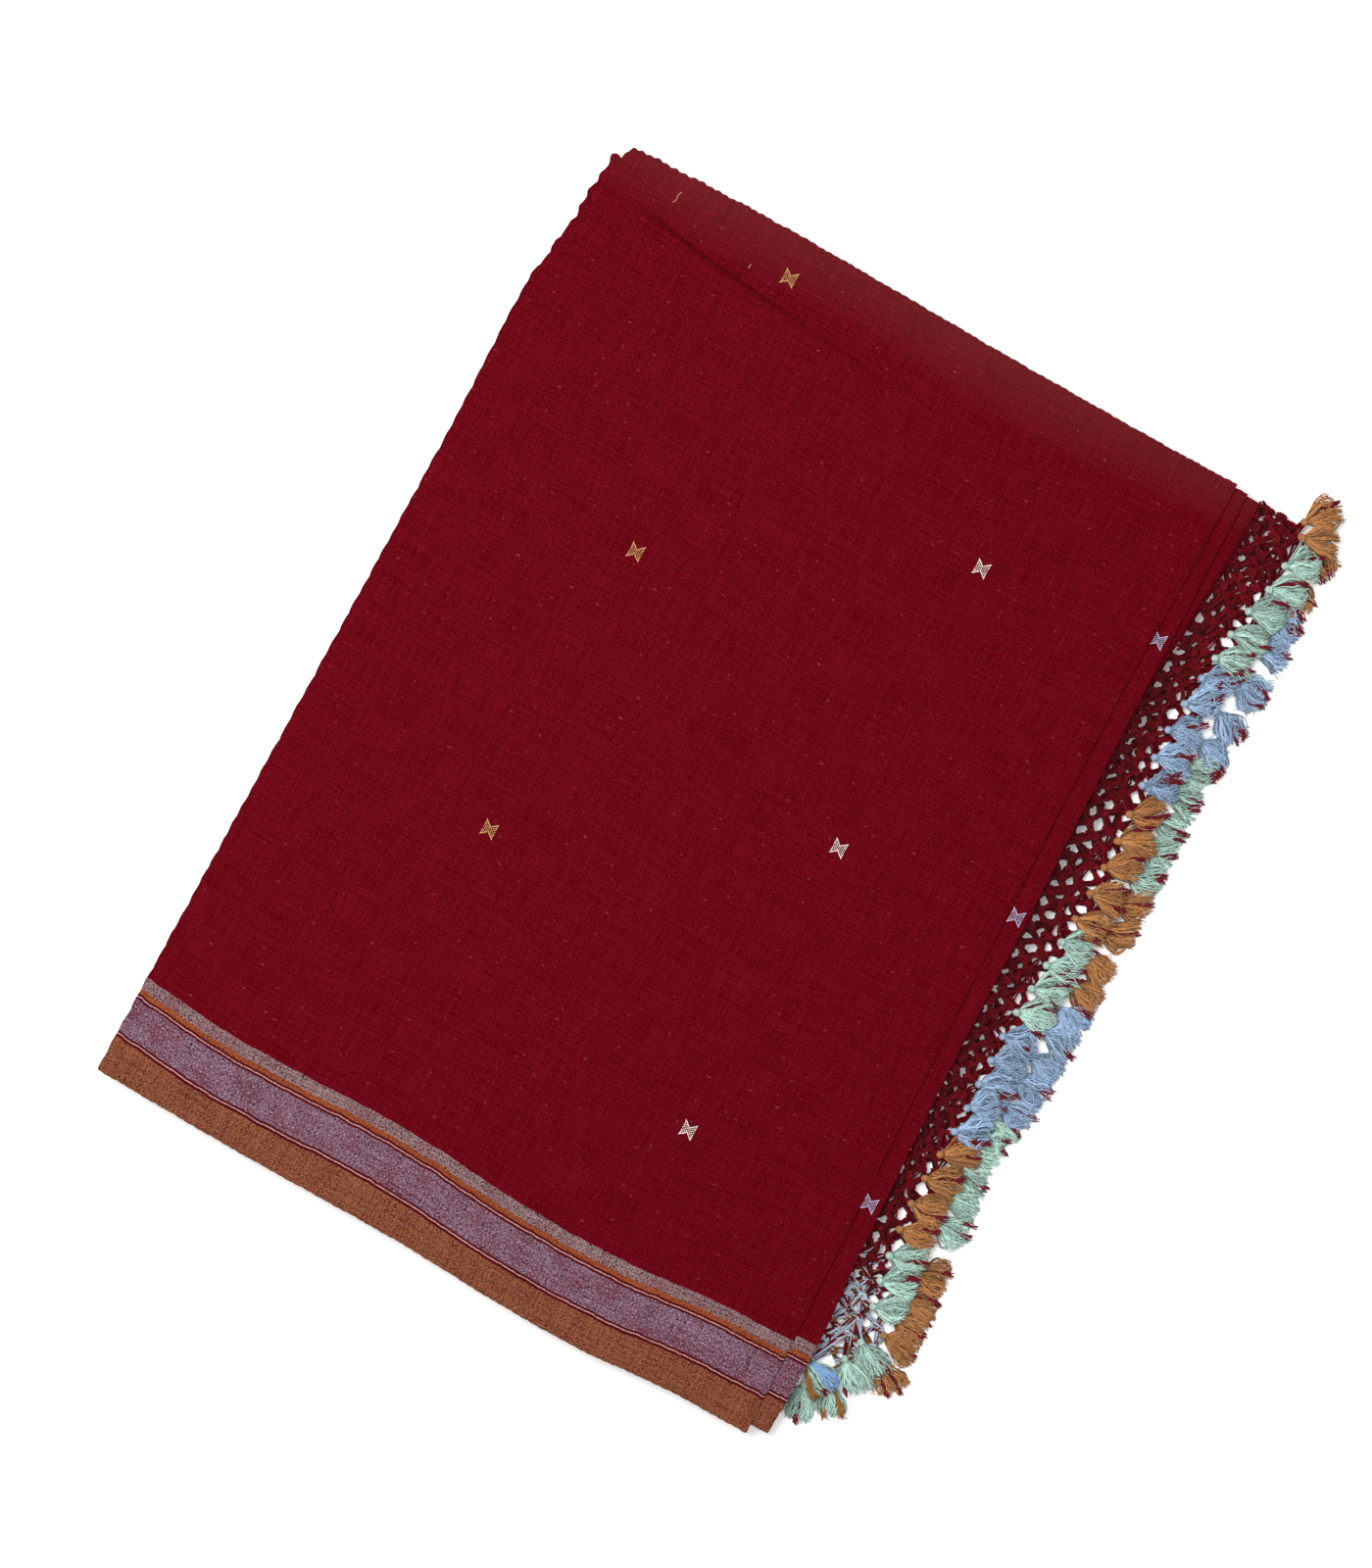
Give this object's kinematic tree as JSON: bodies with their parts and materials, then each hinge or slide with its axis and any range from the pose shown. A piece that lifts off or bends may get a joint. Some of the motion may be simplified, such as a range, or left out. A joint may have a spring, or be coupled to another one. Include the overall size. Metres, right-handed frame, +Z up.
{
  "type": "saree",
  "caption": "Cotton saree folded into a flat rectangular pack, with a striped woven border, small brocade motifs, and a knotted net fringe with tassels along one side.",
  "frame": {"origin": "centre of the bounding box in plan, at the level of the surface that the pack rests on", "axes": "+X along the woven border towards the tasselled fringe, +Y from the border up to the long fold, +Z up out of the surface"},
  "size_m": [0.4646, 0.5982, 0.0167],
  "materials": {
    "cloth": "handwoven plain-weave cotton, matt, with a striped border and small brocade motifs",
    "net_yarn": "knotted cotton warp ends",
    "ochre_yarn": "soft twisted cotton, cut ends",
    "mint_yarn": "soft twisted cotton, cut ends",
    "blue_yarn": "soft twisted cotton, cut ends"
  },
  "bodies": {
    "root": {"folded_core": "cloth", "fringed_end_lower": "cloth", "fringed_end_upper": "cloth", "net_lower": "net_yarn", "net_upper": "net_yarn", "second_fold": "cloth", "tassels_lower_1_ochre": "ochre_yarn", "tassels_lower_2_blue": "blue_yarn", "tassels_lower_3_mint": "mint_yarn", "tassels_lower_4_ochre": "ochre_yarn", "tassels_lower_5_blue": "blue_yarn", "tassels_lower_6_mint": "mint_yarn", "tassels_lower_7_ochre": "ochre_yarn", "tassels_lower_corner_mint": "mint_yarn", "tassels_upper_1_mint": "mint_yarn", "tassels_upper_2_blue": "blue_yarn", "tassels_upper_3_ochre": "ochre_yarn", "tassels_upper_4_mint": "mint_yarn", "tassels_upper_5_blue": "blue_yarn", "tassels_upper_6_ochre": "ochre_yarn", "tassels_upper_7_mint": "mint_yarn", "tassels_upper_corner_mint": "mint_yarn", "tassels_upper_fold_ochre": "ochre_yarn", "top_panel": "cloth"}
  },
  "joints": []
}
